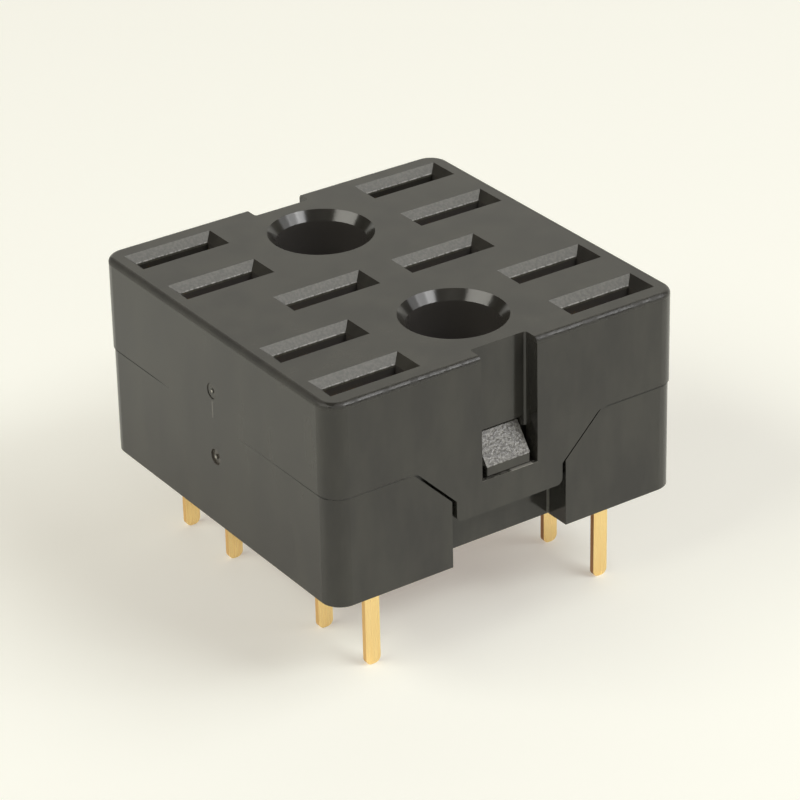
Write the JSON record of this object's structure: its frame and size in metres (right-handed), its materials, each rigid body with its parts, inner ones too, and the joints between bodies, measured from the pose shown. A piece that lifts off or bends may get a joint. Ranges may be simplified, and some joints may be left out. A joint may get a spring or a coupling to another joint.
{
  "type": "pushbutton pcb socket",
  "caption": "Square two-part moulded socket with blade slots, two guide holes, side snap tabs and flat gold-plated pc pins, for a plug-in pushbutton switch.",
  "frame": {"origin": "centre of the base's underside, the face that sits on the pc board; the pins reach below it", "axes": "+Z away from the board, towards the switch; the snap tabs are on the -Y and +Y faces, and the blade slots run along X"},
  "size_m": [0.0188, 0.0188, 0.0145],
  "materials": {
    "black_moulding": "satin black glass-filled polyester, as moulded",
    "gold_plated_strip": "stamped copper alloy strip, gold plated"
  },
  "bodies": {
    "root": {"upper_housing": "black_moulding", "base": "black_moulding", "contact_1": "gold_plated_strip", "contact_2": "gold_plated_strip", "contact_3": "gold_plated_strip", "contact_4": "gold_plated_strip", "contact_5": "gold_plated_strip", "contact_6": "gold_plated_strip", "contact_7": "gold_plated_strip", "contact_8": "gold_plated_strip", "contact_9": "gold_plated_strip", "contact_10": "gold_plated_strip"}
  },
  "joints": []
}
